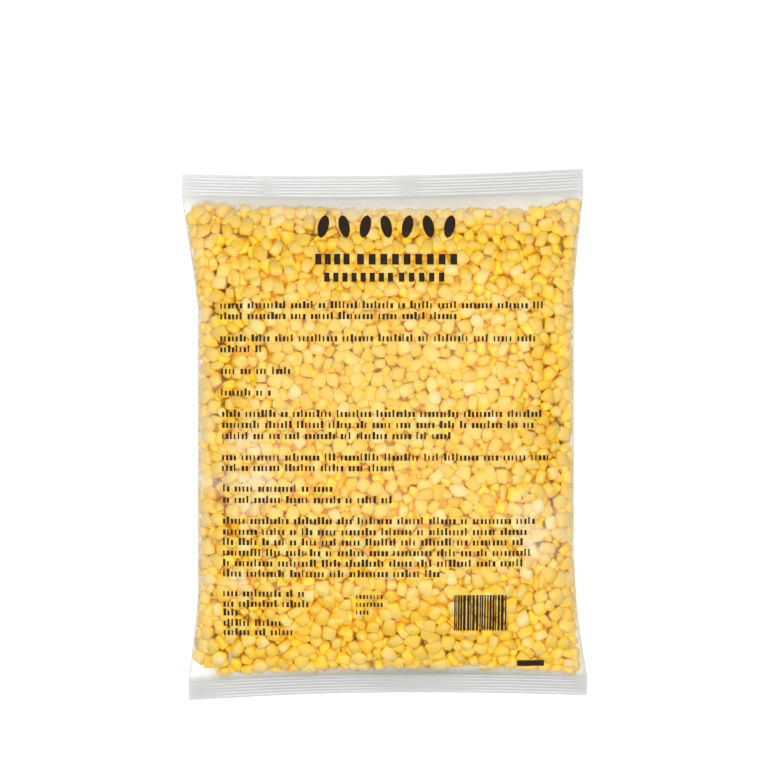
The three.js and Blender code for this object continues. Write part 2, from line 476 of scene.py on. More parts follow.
# Kernels: rings of |x/a|^n + |y/b|^n = 1, narrower towards the cut end and rounded in at the crown.
def kernelPoints(half, tip):
    count, around = len(half), kernelRings["around"]
    along = kernelRings["along"]
    turn = (np.arange(around) + 0.5) * 2 * np.pi / around
    power = 2 / kernelRings["square"]
    flatX = np.sign(np.cos(turn)) * np.abs(np.cos(turn)) ** power
    flatY = np.sign(np.sin(turn)) * np.abs(np.sin(turn)) ** power
    rise = np.clip(along / along[1], 0, 1)
    wide = kernelRings["size"] * (tip[:, None] + (1 - tip[:, None]) * rise ** kernelRings["taper"][0])
    thick = kernelRings["size"] * (1 - kernelRings["taper"][1] * (1 - tip[:, None]) * (1 - rise))
    uneven = 1 + random.normal(0, kernelRings["uneven"], (count, len(along), around))
    x = half[:, 0, None, None] * wide[:, :, None] * flatX * uneven
    y = half[:, 1, None, None] * thick[:, :, None] * flatY * uneven
    z = half[:, 2, None, None] * (2 * along[None, :, None] - 1) + 0 * x
    slant, reach = kernelRings["slant"]
    cut = np.clip(1 - along / reach, 0, 1)[None, :, None]
    z = z + cut * x * random.normal(0, slant, (count, 1, 1))
    bend = random.normal(0, kernelRings["bend"], (count, 2, 1, 1))
    x = x + bend[:, 0] * z * np.abs(z)
    y = y + bend[:, 1] * z * np.abs(z)
    rings = np.stack([x, y, z], -1).reshape(count, -1, 3)
    dent = random.uniform(*kernelRings["dent"], count)
    ends = np.zeros((count, 2, 3))
    ends[:, 0] = rings[:, :around].mean(1)
    ends[:, 1, :2] = rings[:, -around:, :2].mean(1)
    ends[:, 1, 2] = half[:, 2] * (1 - dent)
    return np.concatenate([rings, ends], 1)


# Faces of one kernel: quads between its rings and a fan over each end.
def kernelFaces():
    around, rings = kernelRings["around"], len(kernelRings["along"])
    quads = gridQuads(rings, around, closed=True)
    k = np.arange(around)
    n = (k + 1) % around
    last = (rings - 1) * around
    foot = np.stack([n, k, np.full(around, rings * around)], -1)
    crown = np.stack([last + k, last + n, np.full(around, rings * around + 1)], -1)
    return quads, np.concatenate([foot, crown])


# Share of the painted glow by depth, which stands in for the light lost under the film and the light that
# gets through other kernels: 0 at its surface, rising smoothly to 1 at a few millimetres' depth.
def paintedGlowShare(points):
    x, y, z = points.reshape(-1, 3).T
    gap, _, outZ, _, _, middle = filmDistance(x, y, z)
    lift = np.where(z > middle, lookUp(upperLift, x, y), lookUp(lowerLift, x, y))
    depth = gap + lift * np.abs(outZ)
    least, most = paintedGlowDepths
    return eased((depth - least) / (most - least)).reshape(points.shape[:2])


# All kernels: their sizes, their settled places, and the points of their surfaces.
def layKernels():
    corner, size = np.array([-112, -135, 0]), np.array([224, 270, 44])  # of a box round the filling
    tries = corner + size * random.random((packing["tries"], 3))
    room = inFilling(tries, 0.0).mean() * size.prod()
    shares = np.array([kind["share"] for kind in kernelKinds.values()])
    sizes = np.array([kind["half"] for kind in kernelKinds.values()])
    solid = 8 * cornDensity * (shares * sizes.prod(1)).sum()
    count = int(packing["share"] * room / solid)
    kinds = random.choice(len(shares), count, p=shares)
    spread = np.array([kind["spread"] for kind in kernelKinds.values()])[kinds]
    departure = np.clip(random.normal(0, 1, (count, 3)), -furthest, furthest)
    half = sizes[kinds] * (1 + spread[:, None] * departure)
    tips = np.array([kind["tip"] for kind in kernelKinds.values()])[kinds]
    tip = tips * random.uniform(*tipSpread, count)
    centre, turned = settle(half)
    points = kernelPoints(half, tip)
    points = np.einsum("nij,nkj->nki", turned, points) + centre[:, None]
    return kinds, keepInside(points)


# Film.


filmLook = {
    "gap": 0.32,  # between the kernels and the film over them
    "press": (0.12, 2.5),  # room that kernels keep, and the most that it may press them
    "slack": -0.5,  # where the film lies when no kernel holds it up
    "smoothing": 50,
    "sink": 0.06,  # how fast it falls back to that between kernels
    "acrossPoints": 168,  # on each layer
    "bodyRows": 208,
    "crowding": 0.25,  # how much closer the rows are near the seals
    "rowsPerCrimp": 6,
    "crimpPitch": 1.7,
    "crimpMargin": (0.0, 1.1),  # plain strip along the cut edge: foot, head
    "crimpHeight": 0.38,
    "crimpCount": 6,
    "sealFade": (7.0, 11.0),  # how far inside a seal the film turns clear: foot, head
    "flatRim": 40,  # power of s with which kernels and folds leave the film's sides alone
    "pleat": 0.8,  # height of the small folds that run out of each seal
    "pleatReach": 26,
}


crimpFades = {  # where crimps fade out: place from -1 at the left to 1 at the right, and width
    "foot": ((-1.0, 0.22), (0.2, 0.28), (1.0, 0.06)),
    "head": ((-1.0, 0.09), (-0.58, 0.05), (0.12, 0.10), (1.0, 0.07)),
}


# How far the film is held off its plain shape: the highest kernel point over each grid place, then
# a stretched skin over those, each place at the mean of its neighbours where nothing holds it.
def skinOver(heights, samples, sign):
    x, y, z = samples.T
    need = np.full(heights.shape, -50.0)
    lift = sign * (z - lookUp(heights, x, y)) + filmLook["gap"]
    i = ((x - mapX[0]) / mapStep).astype(int)
    j = ((y - mapY[0]) / mapStep).astype(int)
    for a in (0, 1):
        for b in (0, 1):
            np.maximum.at(need, (i + a, j + b), lift)
    inside = (fullness(gridV) > 0) & (np.abs(gridS) < 0.999)
    slack = filmLook["slack"] * np.minimum(1, 3 * fullness(gridV)) * (1 - np.abs(gridS) ** 8)
    need = np.where(inside, need, 0.0)
    skin = np.maximum(need, slack)
    sink = filmLook["sink"]
    for _ in range(filmLook["smoothing"]):
        mean = sum(np.roll(skin, step, axis) for step in (1, -1) for axis in (0, 1)) / 4
        skin = np.where(inside, np.maximum(need, (1 - sink) * mean + sink * slack), 0.0)
    mean = sum(np.roll(skin, step, axis) for step in (1, -1) for axis in (0, 1)) / 4
    return np.where(inside, 0.5 * (skin + np.maximum(skin, mean)), 0.0)


# Small folds at the seals: waves across the bag that fade with the square of the distance.
def pleats(s, v):
    reach = filmLook["pleatReach"]
    folds = np.zeros_like(s)
    for distance, phase in ((v * filledLength, 0.4), ((1 - v) * filledLength, 2.3)):
        near = np.clip(1 - distance / reach, 0, 1) ** 2 * np.clip(distance / 3, 0, 1)
        wave = np.sin(31 * s + phase) * np.sin(9 * s + 2 * phase) + 0.5 * np.sin(57 * s - phase)
        folds = folds + near * wave
    return filmLook["pleat"] * folds * (1 - np.abs(s) ** 6)


# Crimps: ridges of sin squared along each seal, from a margin inside the cut edge. They fade out
# round the places given, by 1 - exp(-((s - place) / width) squared), and each ridge a little elsewhere.
def crimps(out, s, depth, margin, places):
    along = (depth - margin - out) / filmLook["crimpPitch"]
    ridge = np.where((along > 0) & (along < filmLook["crimpCount"]), np.sin(np.pi * along) ** 2, 0)
    shifted = s + 0.02 * np.sin(2.1 * np.floor(along))
    fade = 0.85 + 0.15 * np.sin(7 * s + 2 * np.floor(along))
    for place, width in places:
        fade = fade * (1 - np.exp(-((shifted - place) / width) ** 2))
    return filmLook["crimpHeight"] * ridge * fade


# Heights of both films as drawn: the plain shape, the kernels' lift and the folds, which end at the sides.
def drawnFilm(s, v, x, y):
    upper, lower = filmHeights(s, v, x, y)
    folds = pleats(s, v)
    inner = 1 - np.abs(s) ** filmLook["flatRim"]
    over = upper + (lookUp(upperLift, x, y) + folds) * inner
    under = np.maximum(0, lower - (lookUp(lowerLift, x, y) - 0.5 * folds) * inner)
    return over, under


# Kernels pressed to between the films: each height is clipped to theirs, less a margin. It returns the
# points, and true for each kernel that stays because no point of it moves by as much as the limit.
def pressUnder(points):
    margin, limit = filmLook["press"]
    x, y, z = points.reshape(-1, 3).T
    over, under = drawnFilm(*bagPlace(x, y), x, y)
    flat = np.clip(z, np.minimum(under + margin, over - margin), over - margin)
    moved = np.abs(flat - z).reshape(points.shape[:2]).max(1)
    flat = np.stack([x, y, flat], -1).reshape(points.shape)
    return flat, moved < limit


# Rows from the foot's cut edge to the head's, as v: even in each seal, closer together near them.
def filmRows():
    count = filmLook["rowsPerCrimp"]
    foot, head = bagShape["footSeal"], bagShape["headSeal"]
    footOut = np.linspace(foot, 0, int(count * foot / filmLook["crimpPitch"]) + 1)
    headOut = np.linspace(0, head, int(count * head / filmLook["crimpPitch"]) + 1)
    w = np.linspace(0, 1, filmLook["bodyRows"] + 1)[1:-1]
    body = w - filmLook["crowding"] * np.sin(2 * np.pi * w) / (2 * np.pi)
    return np.concatenate([-footOut / filledLength, body, 1 + headOut / filledLength])


footShadowSizes = (1.6, 2.1, 0.15, 0.6, 1.0)  # painted shadow under the film: distance inside the seal, its width, place across, width, strength
sheenSpots = {  # painted sheen where the film catches the light: X, Y, half width, half length and strength
    "right": (82, -41, 10, 9, 0.75),
    "rightLow": (88, -58, 11, 20, 0.45),
    "rightPatch": (79, -57, 5, 13, 0.55),
    "left": (-78, -24, 22, 9, 0.65),
    "leftUpper": (-76, -4, 18, 6, 0.5),
    "leftLow": (-75, -39, 10, 5, 0.8),
    "lowerLeft": (-78, -79, 7, 6, 0.8),
    "leftSide": (-99, -6, 6, 75, 0.35),
    # painted light over the shaded strip under the head seal
    "head": (0, 124, 100, 8, 0.8),
}
sideSheen = (0.38, 8.0)  # painted grazing sheen along the sides: strength, and how far in from the outline it reaches
paintedSideVeil = (1.4, 3.6, 44)  # painted reflection and shade along the outline: its reach, what the foot's right corner adds to that, and how far up


# Seal: 1 in a seal, falling to 0 inside it as 1 - distance / fade, eased.
def sealShare(v):
    footFade, headFade = filmLook["sealFade"]
    share = np.maximum(-v * filledLength / footFade, (v - 1) * filledLength / headFade)
    return eased(share + 1)


# Painted shadow just inside the foot seal: exp(-distance squared) across and along, in the sizes set above
# for it.
def footShadowShare(s, v):
    inside, depth, middle, width, strength = footShadowSizes
    across = np.exp(-((s - middle) / width) ** 2)
    return strength * across * np.exp(-((v * filledLength - inside) / depth) ** 2)


# Distance in from the outline, across the bag.
def fromSide(s, v):
    return (1 - np.abs(s)) * halfWidth(s, v)


# Painted veil of reflection and shade along the sides: exp(-(distance in / reach) squared), with more reach
# at the foot's right corner.
def paintedSideVeilShare(s, v):
    least, more, far = paintedSideVeil
    reach = least + more * np.clip(1 - v * filledLength / far, 0, 1) * (s > 0)
    return np.exp(-(fromSide(s, v) / reach) ** 2)


# Haze and painted sheen: over the sheen spots, strength times exp(-distance squared), distance in half
# sizes;
# and along each side, painted grazing sheen, strength times exp(-(distance from the outline / reach)
# squared).
def hazeAndSheenOver(x, y, s, v):
    hazeAndSheen = sideSheen[0] * np.exp(-(fromSide(s, v) / sideSheen[1]) ** 2)
    for spotX, spotY, width, length, strength in sheenSpots.values():
        hazeAndSheen = hazeAndSheen + strength * np.exp(-((x - spotX) / width) ** 2 - ((y - spotY) / length) ** 2)
    return np.clip(hazeAndSheen, 0, 1)


# The film: a closed ring of points at each row, upper layer left to right, lower right to left. In the
# filled part they lie evenly along the curved section; towards the seals, evenly across.
def makeFilm():
    v = filmRows()[:, None]
    across = filmLook["acrossPoints"]
    t = np.linspace(-1, 1, across + 1)
    fine = np.linspace(-1, 1, 1201)
    halfway = np.full_like(fine, 0.5)
    sectionX, _ = planPoint(fine, halfway)
    footMargin, headMargin = filmLook["crimpMargin"]
    layers = []
    for layer, z in enumerate(filmHeights(fine, halfway, sectionX, 0 * sectionX)):
        walked = np.concatenate([[0], np.cumsum(np.hypot(np.diff(sectionX), np.diff(z)))])
        even = np.interp((t + 1) / 2 * walked[-1], walked, fine)
        s = np.clip(t + (even - t) * fullness(v), -1, 1)
        along = v + 0 * s
        x, y = planPoint(s, along)
        z = drawnFilm(s, along, x, y)[layer]
        z = z + crimps(-v * filledLength, s, bagShape["footSeal"], footMargin, crimpFades["foot"])
        z = z + crimps((v - 1) * filledLength, s, bagShape["headSeal"], headMargin, crimpFades["head"])
        layers.append((np.stack([x, y, z], -1), s))
    (top, topS), (under, underS) = layers
    under[:, 0], under[:, -1] = top[:, 0], top[:, -1]
    points = np.concatenate([top, under[:, -2:0:-1]], 1)
    s = np.concatenate([topS, underS[:, -2:0:-1]], 1)
    rows, ring = points.shape[:2]
    quads = gridQuads(rows, ring, closed=True)
    k = np.arange(1, across - 1)  # the cut edges join the two layers
    caps, ends = [], []
    for row, turned in ((0, 1), (rows - 1, -1)):
        first = row * ring
        upperLeft, upperRight = first + k, first + k + 1
        lowerLeft, lowerRight = first + (ring - k) % ring, first + ring - k - 1
        caps.append(np.stack([lowerLeft, lowerRight, upperRight, upperLeft], -1)[:, ::turned])
        corner = np.array([
            [first, first + ring - 1, first + 1],
            [first + across - 1, first + across + 1, first + across],
        ])
        ends.append(corner[:, ::turned])
    x, y, _ = np.moveaxis(points, -1, 0)
    # Values for the veil: the seal, haze with painted sheen, the painted shadow inside the foot seal and
    # the painted veil along the sides.
    values = {
        "seal": sealShare(v) + 0 * s, "hazeAndSheen": hazeAndSheenOver(x, y, s, v), "footShadow": footShadowShare(s, v),
        "side": paintedSideVeilShare(s, v),
    }
    faces = np.concatenate([quads, *caps])
    return makePiece("film", points.reshape(-1, 3), faces, np.concatenate(ends), values, creases=65)


# Core.


coreLook = {
    "rings": 48,
    "around": 160,
    "lump": 0.5,  # height of its kernel-size lumps
    # colours of the cells, and the painted shade of deeper orange between them
    "colours": ((1.0, 0.66, 0.03, 1), (1.0, 0.56, 0.015, 1)),
    "cells": 150.0,
    "bump": (0.6, 0.001),  # strength and depth
    "glow": (1.0, 0.50, 0.02, 1),  # painted glow, standing in for light that gets through the kernels round it
    "paintedGlowStrength": 0.2,
}


# The core: rings round |x/a|^4 + |y/b|^4 = 1, closer near the rim, at coreHeight over and under its
# middle, joined at the rim. Its lumps are a product of two sines.
def makeCore():
    a, b, _ = packing["coreHalf"]
    rings, around = coreLook["rings"], coreLook["around"]
    radius = np.sin(np.linspace(0, np.pi / 2, rings + 1))[1:, None]
    turn = np.arange(around) * 2 * np.pi / around
    stretch = (np.cos(turn) ** 4 + np.sin(turn) ** 4) ** -0.25
    x, y = a * radius * stretch * np.cos(turn), b * radius * stretch * np.sin(turn)
    lumps = coreLook["lump"] * np.sin(x * 0.9 + 1.3 * np.sin(y * 0.4)) * np.sin(y * 0.85 + np.sin(x * 0.5))
    height = coreHeight(x, y)
    height = height + lumps * np.clip(height / 3, 0, 1)
    middle = bagShape["thickness"] / 2
    top = np.stack([x, y, middle + height], -1)
    under = np.stack([x, y, middle - height], -1)[:-1]
    points = np.concatenate([top.reshape(-1, 3), under.reshape(-1, 3)])
    poles = np.array([[0, 0, middle + coreHeight(0, 0)], [0, 0, middle - coreHeight(0, 0)]])
    first = len(points)
    points = np.concatenate([points, poles])
    upperQuads = gridQuads(rings, around, closed=True)[:, ::-1]
    inner = (rings - 1) * around
    lowerRows = np.concatenate([rings * around + np.arange(inner), inner + np.arange(around)])
    lowerQuads = lowerRows[gridQuads(rings, around, closed=True)]
    k = np.arange(around)
    n = (k + 1) % around
    crown = np.stack([k, n, np.full(around, first)], -1)
    base = np.stack([lowerRows[n], lowerRows[k], np.full(around, first + 1)], -1)
    quads = np.concatenate([upperQuads, lowerQuads])
    return makePiece("corn_core", points, quads, np.concatenate([crown, base]))


# Print.


printLook = {
    "lift": 0.16,
    "thickness": 0.04,
    "seed": 31,
    "word": (2, 11),  # a word has from 2 to 10 dashes
    "weight": (0.7, 1.35),  # least and most width of a dash, against its kind's
    "tallShare": 0.25,
}
printLines = [  # Y of the line, X of its ends
    (70.2, -89.3, 86.7), (64.3, -89.3, 40.8),
    (52.3, -89.3, 83.5), (46.4, -89.3, -65.5),
    (34.6, -88.8, -49.3),
    (22.9, -88.8, -61.7),
    (11.4, -88.2, 85.1), (5.4, -88.2, 82.4), (-0.6, -88.2, 37.0),
    (-12.2, -88.2, 89.4), (-17.9, -88.2, 6.2),
    (-29.1, -87.7, -26.6), (-35.2, -87.7, 5.7),
    (-46.6, -87.7, 81.3), (-52.5, -87.7, 77.0), (-58.1, -87.7, 74.8),
    (-63.9, -87.7, 79.7), (-69.6, -87.7, 75.9), (-75.3, -87.7, 30.0),
    (-86.2, -87.7, -42.8), (-91.9, -87.7, -40.7), (-96.8, -87.7, -78.5),
    (-102.5, -87.7, -54.7), (-107.7, -87.7, -48.8),
]
printKinds = {  # small upright dashes: their pitch, width and height, and the height of the tall ones
    "print_lines": {"pitch": 2.15, "width": 1.1, "height": 2.8, "tall": 3.9},
    "print_date": {"pitch": 1.9, "width": 0.8, "height": 2.3, "tall": 2.3},
}
headingLines = [  # Y, X of the ends, number of blocks, their width and height
    (95.6, -37.6, -19.0, 4, 3.3, 5.9), (95.6, -14.9, 39.4, 9, 3.7, 5.9),
    (85.7, -32.7, 4.6, 8, 2.8, 4.9), (85.7, 7.8, 32.4, 5, 2.9, 4.9),
]
dateLines = [  # Y, X of the ends
    (-87.6, -15.4, -0.8), (-92.0, -15.4, -0.8), (-96.3, -15.4, -8.5),
]
codeBars = {
    "x": (37.8, 66.2), "y": (-106.4, -86.6), "bars": 19, "weight": (0.55, 1.7), "space": (0.35, 0.9),
}
eyeMark = {"x": (72.6, 87.5), "y": (-126.9, -123.5)}
printGrids = {  # rows and columns of points on each patch
    "print_lines": (4, 3), "print_date": (4, 3), "print_headings": (6, 4), "print_bars": (22, 2),
    "print_eye_mark": (5, 15), "print_mark": (13, 9),
}
markRow = {"count": 7, "x": (-33.5, 35.5), "y": 113.8, "height": 13.0, "width": 7.4, "tilt": 0.22}


# Thin closed patches on the film. Each is a grid of points over its own outline, a top and an under
# side; the height is the film's at each point plus a small lift.
def printPatches(name, x, y):
    count, rows, columns = x.shape
    film, _ = drawnFilm(*bagPlace(x, y), x, y)
    top = np.stack([x, y, film + printLook["lift"] + printLook["thickness"]], -1)
    under = np.stack([x, y, film + printLook["lift"]], -1)
    points = np.concatenate([top.reshape(count, -1, 3), under.reshape(count, -1, 3)], 1)
    one = rows * columns
    grid = gridQuads(rows, columns)
    index = np.arange(one).reshape(rows, columns)
    rim = np.concatenate([index[0, :-1], index[:-1, -1], index[-1, :0:-1], index[:0:-1, 0]])
    after = np.roll(rim, -1)
    walls = np.stack([rim + one, after + one, after, rim], -1)
    faces = np.concatenate([grid, grid[:, ::-1] + one, walls])
    quads = (faces[None] + 2 * one * np.arange(count)[:, None, None]).reshape(-1, 4)
    return makePiece(name, points.reshape(-1, 3), quads)


# Rectangles on the film as one piece: X and Y run evenly between each one's sides.
def printRectangles(name, sides):
    rows, columns = printGrids[name]
    p = np.linspace(0, 1, columns)[None, None]
    q = np.linspace(0, 1, rows)[None, :, None]
    left, right, low, high = (np.asarray(side, float)[:, None, None] for side in sides)
    return printPatches(name, left + (right - left) * p + 0 * q, low + (high - low) * q + 0 * p)


# A line of dashes: words of 2 to 10 dashes with a gap after each, at an even pitch.
def dashLine(draw, line, kind):
    y, left, right = line
    places = np.arange(left, right - kind["width"], kind["pitch"])
    shown, at = np.ones(len(places), bool), 0
    while at < len(places):
        at += draw.integers(*printLook["word"])
        if at < len(places) - 1:
            shown[at] = False
        at += 1
    places = places[shown]
    width = kind["width"] * draw.uniform(*printLook["weight"], len(places))
    height = np.where(draw.random(len(places)) < printLook["tallShare"], kind["tall"], kind["height"])
    low = np.full(len(places), y - kind["height"] / 2)
    return places, places + width, low, low + height


# All the print: lines of dashes, heading lines of even blocks, bars whose weights and spaces are drawn
# at random and scaled to fit their box, the eye mark and the row of kernel shapes.
def makePrint():
    draw = np.random.default_rng(printLook["seed"])
    pieces = []
    for name, lines in (("print_lines", printLines), ("print_date", dateLines)):
        kind = printKinds[name]
        dashes = [dashLine(draw, line, kind) for line in lines]
        pieces.append(printRectangles(name, map(np.concatenate, zip(*dashes))))
    blocks = []
    for y, left, right, count, width, height in headingLines:
        places = np.linspace(left, right - width, count)
        low = np.full(count, y - height / 2)
        blocks.append((places, places + width, low, low + height))
    pieces.append(printRectangles("print_headings", map(np.concatenate, zip(*blocks))))
    weights = draw.uniform(*codeBars["weight"], 2 * codeBars["bars"] - 1)
    weights[1::2] = draw.uniform(*codeBars["space"], codeBars["bars"] - 1)
    edges = np.concatenate([[0], np.cumsum(weights)]) / weights.sum()
    left, right = codeBars["x"]
    edges = left + (right - left) * edges
    low, high = codeBars["y"]
    bars = (edges[0::2], edges[1::2], np.full(codeBars["bars"], low), np.full(codeBars["bars"], high))
    pieces.append(printRectangles("print_bars", bars))
    box = (eyeMark["x"][:1], eyeMark["x"][1:], eyeMark["y"][:1], eyeMark["y"][1:])
    pieces.append(printRectangles("print_eye_mark", box))
    pieces.append(makeMarkRow())
    return pieces


# A row of plain kernel shapes: width times sqrt(sin) of the height, narrower at the foot, each leaning.
def makeMarkRow():
    rows, columns = printGrids["print_mark"]
    q = np.linspace(0.004, 0.996, rows)[:, None]
    p = np.linspace(-1, 1, columns)[None]
    shapeX = 0.5 * markRow["width"] * p * np.sin(np.pi * q**0.8) ** 0.5 * (0.62 + 0.38 * q)
    shapeY = markRow["height"] * (q - 0.5) + 0 * p
    lean = markRow["tilt"] * np.where(np.arange(markRow["count"]) % 2, -1, 1)[:, None, None]
    places = np.linspace(*markRow["x"], markRow["count"])[:, None, None]
    x = places + shapeX * np.cos(lean) + shapeY * np.sin(lean)
    y = markRow["y"] - shapeX * np.sin(lean) + shapeY * np.cos(lean)
    return printPatches("print_mark", x, y)


# Materials.


# A new node in a tree, with its inputs set by name.
def addNode(tree, kind, inputs=None, **settings):
    node = tree.nodes.new(kind)
    for key, value in settings.items():
        setattr(node, key, value)
    for key, value in (inputs or {}).items():
        if isinstance(value, bpy.types.NodeSocket):
            tree.links.new(value, node.inputs[key])
        else:
            node.inputs[key].default_value = value
    return node


# A material with an empty node tree.
def newMaterial(name):
    material = bpy.data.materials.new(name)
    material.use_nodes = True
    material.node_tree.nodes.clear()
    return material, material.node_tree


# The Principled shader with its inputs, as what the material's surface is.
def addSurface(tree, inputs):
    shader = addNode(tree, "ShaderNodeBsdfPrincipled", inputs)
    addNode(tree, "ShaderNodeOutputMaterial", {"Surface": shader.outputs[0]})


# A number worked out from one, two or three others.
def calculate(tree, operation, *numbers, clamp=False):
    inputs = dict(enumerate(numbers))
    return addNode(tree, "ShaderNodeMath", inputs, operation=operation, use_clamp=clamp).outputs[0]


# A product of two numbers.
def times(tree, a, b, clamp=False):
    return calculate(tree, "MULTIPLY", a, b, clamp=clamp)


# A colour between two others.
def blendColours(tree, share, a, b, kind="MIX"):
    inputs = {"Factor": share, 6: a, 7: b}
    return addNode(tree, "ShaderNodeMix", inputs, data_type="RGBA", blend_type=kind).outputs[2]


# The place on the object, in metres.
def readPlace(tree):
    return addNode(tree, "ShaderNodeTexCoord").outputs["Object"]


# Noise over the object: its scale is in patches to the metre.
def addNoise(tree, scale, detail=2.0, roughness=0.5):
    inputs = {"Vector": readPlace(tree), "Scale": scale, "Detail": detail, "Roughness": roughness}
    return addNode(tree, "ShaderNodeTexNoise", inputs).outputs["Fac"]


# Normals bent by a height: strength, then depth in metres.
def addBump(tree, height, strength, depth, invert=False):
    inputs = {"Height": height, "Strength": strength, "Distance": depth}
    return addNode(tree, "ShaderNodeBump", inputs, invert=invert).outputs[0]


# A number kept on the mesh's points.
def readAttribute(tree, name):
    node = addNode(tree, "ShaderNodeAttribute", attribute_name=name, attribute_type="GEOMETRY")
    return node.outputs["Fac"]


cornSockets = {
    "INPUT": {
        "Deep": "Color", "Golden": "Color", "Pale": "Color", "Cut End": "Color", "Painted Glow": "Color",
        "Mottle": "Float",
    },
    "OUTPUT": {"Color": "Color", "Roughness": "Float", "Height": "Float"},
}
fleshLook = {
    "blotches": (420.0, 3.0),  # scale and detail of the noise
    "blotchFrom": 0.42,  # its level at which they start
    "grain": 1900.0,
    "grainHeight": 0.3,
    "end": (3.0, 0.75),  # power with which the cut end's colour fades, and its most
    "roughness": (0.25, 0.34),  # what the grain adds, and the least
}


# Corn flesh, shared by all kernels: its colour runs from deep over golden to pale with each kernel's
# tone, and turns to the cut end's at the tip, to deep in blotches, and by depth to a painted glow of deep
# orange for light through other kernels.
def makeCornGroup():
    group = bpy.data.node_groups.new("cornFlesh", "ShaderNodeTree")
    for direction, sockets in cornSockets.items():
        for name, kind in sockets.items():
            group.interface.new_socket(name, in_out=direction, socket_type="NodeSocket" + kind)
    given = addNode(group, "NodeGroupInput").outputs
    tone, along, paintedGlow = (readAttribute(group, name) for name in ("tone", "along", "paintedGlow"))
    blotch, fine = addNoise(group, *fleshLook["blotches"]), addNoise(group, fleshLook["grain"])
    lower = times(group, tone, 2.0, clamp=True)
    upper = calculate(group, "MULTIPLY_ADD", tone, 2.0, -1.0, clamp=True)
    colour = blendColours(group, lower, given["Deep"], given["Golden"])
    colour = blendColours(group, upper, colour, given["Pale"])
    power, most = fleshLook["end"]
    end = calculate(group, "POWER", calculate(group, "SUBTRACT", 1.0, along, clamp=True), power)
    colour = blendColours(group, times(group, end, most), colour, given["Cut End"])
    over = calculate(group, "SUBTRACT", blotch, fleshLook["blotchFrom"], clamp=True)
    spots = times(group, over, given["Mottle"])
    colour = blendColours(group, spots, colour, given["Deep"])
    # painted glow: deep orange by depth under the film, for light that gets through other kernels
    colour = blendColours(group, paintedGlow, colour, given["Painted Glow"])
    rough = calculate(group, "MULTIPLY_ADD", fine, *fleshLook["roughness"])
    height = calculate(group, "ADD", blotch, times(group, fine, fleshLook["grainHeight"]))
    addNode(group, "NodeGroupOutput", {"Color": colour, "Roughness": rough, "Height": height})
    return group


cornColours = {
    "kernels_plump": {
        "Deep": (0.73, 0.44, 0.027, 1), "Golden": (0.74, 0.505, 0.052, 1), "Pale": (0.76, 0.54, 0.110, 1),
    },
    "kernels_pale": {
        "Deep": (0.75, 0.51, 0.070, 1), "Golden": (0.77, 0.56, 0.135, 1), "Pale": (0.80, 0.61, 0.25, 1),
    },
    "kernels_slim": {
        "Deep": (0.72, 0.415, 0.024, 1), "Golden": (0.73, 0.485, 0.045, 1), "Pale": (0.75, 0.525, 0.090, 1),
    },
    "kernels_small": {
        "Deep": (0.72, 0.405, 0.027, 1), "Golden": (0.73, 0.495, 0.058, 1), "Pale": (0.77, 0.56, 0.145, 1),
    },
}
sharedFlesh = {  # painted glow: light that has gone through other kernels, painted on the buried ones as deep orange
    "Cut End": (0.79, 0.60, 0.20, 1), "Painted Glow": (0.99, 0.62, 0.036, 1), "Mottle": 1.2,
}
cornFinish = {
    "Specular IOR Level": 0.25,
    "Subsurface Weight": 0.3,
    "Subsurface Radius": (1.0, 0.8, 0.3),
    "Subsurface Scale": 0.0016,
}
cornBump = (0.35, 0.0003)  # strength and depth


# One kind of kernel: the shared flesh in its own colours, under a waxy skin that lets light in a little.
def cornMaterial(group, name, colours):
    material, tree = newMaterial(name)
    flesh = addNode(tree, "ShaderNodeGroup", node_tree=group)
    for key, value in {**colours, **sharedFlesh}.items():
        flesh.inputs[key].default_value = value
    addSurface(tree, {
        "Base Color": flesh.outputs["Color"], "Roughness": flesh.outputs["Roughness"],
        "Normal": addBump(tree, flesh.outputs["Height"], *cornBump), **cornFinish,
    })
    return material


# The core: rounded cells of the kernels' size, with painted shade of deeper orange between them, and a
# painted glow for the light that gets through the kernels round it.
def coreMaterial():
    material, tree = newMaterial("cornDepths")
    inputs = {"Vector": readPlace(tree), "Scale": coreLook["cells"]}
    cells = addNode(tree, "ShaderNodeTexVoronoi", inputs).outputs["Distance"]
    addSurface(tree, {
        "Base Color": blendColours(tree, cells, *coreLook["colours"]), "Roughness": 0.5,
        "Normal": addBump(tree, cells, *coreLook["bump"], invert=True),
        "Emission Color": coreLook["glow"], "Emission Strength": coreLook["paintedGlowStrength"],
    })
    return material


filmFinish = {
    "hazeAndSheenCover": 0.62,  # share of the light that one layer stops where it is hazy and painted with sheen, seen straight on
    "sealCover": 0.50,
    # pale colour of the haze and the painted sheen
    "hazeAndSheen": (0.95, 0.955, 0.80, 1),
    "headSeal": (0.605, 0.62, 0.61, 1),
    "footSeal": (0.535, 0.55, 0.54, 1),
    # painted shadow just inside the foot seal
    "footShadow": (0.34, 0.35, 0.30, 1),
    # painted reflection and shade along the outline, and the share of the light it stops
    "side": (0.58, 0.59, 0.44, 1),
    "sideCover": 0.40,
    "grazing": (0.4, 3.0),  # veil at a low angle: most x (1 - cosine) ^ power
    "fall": 0.8,  # how much darker the head seal gets for each metre to the right
    "mirror": (0.018, 0.14, 4.0),  # gloss seen straight on, its rise at a low angle, and its power
    "roughness": 0.13,
    "clouds": (70.0, 4.0, 0.6),  # scale, detail and roughness of the noise in the haze
    "cloud": (0.28, 2.2),  # noise level at which haze starts, and how fast it rises
    # share of the light that the painted foot shadow stops
    "footShadowCover": 0.7,
    "veilRoughness": 0.35,
    "ripples": (260.0, 3.0),  # scale and detail of the noise that bends its light
    "bump": (0.06, 0.0004),  # strength and depth
}
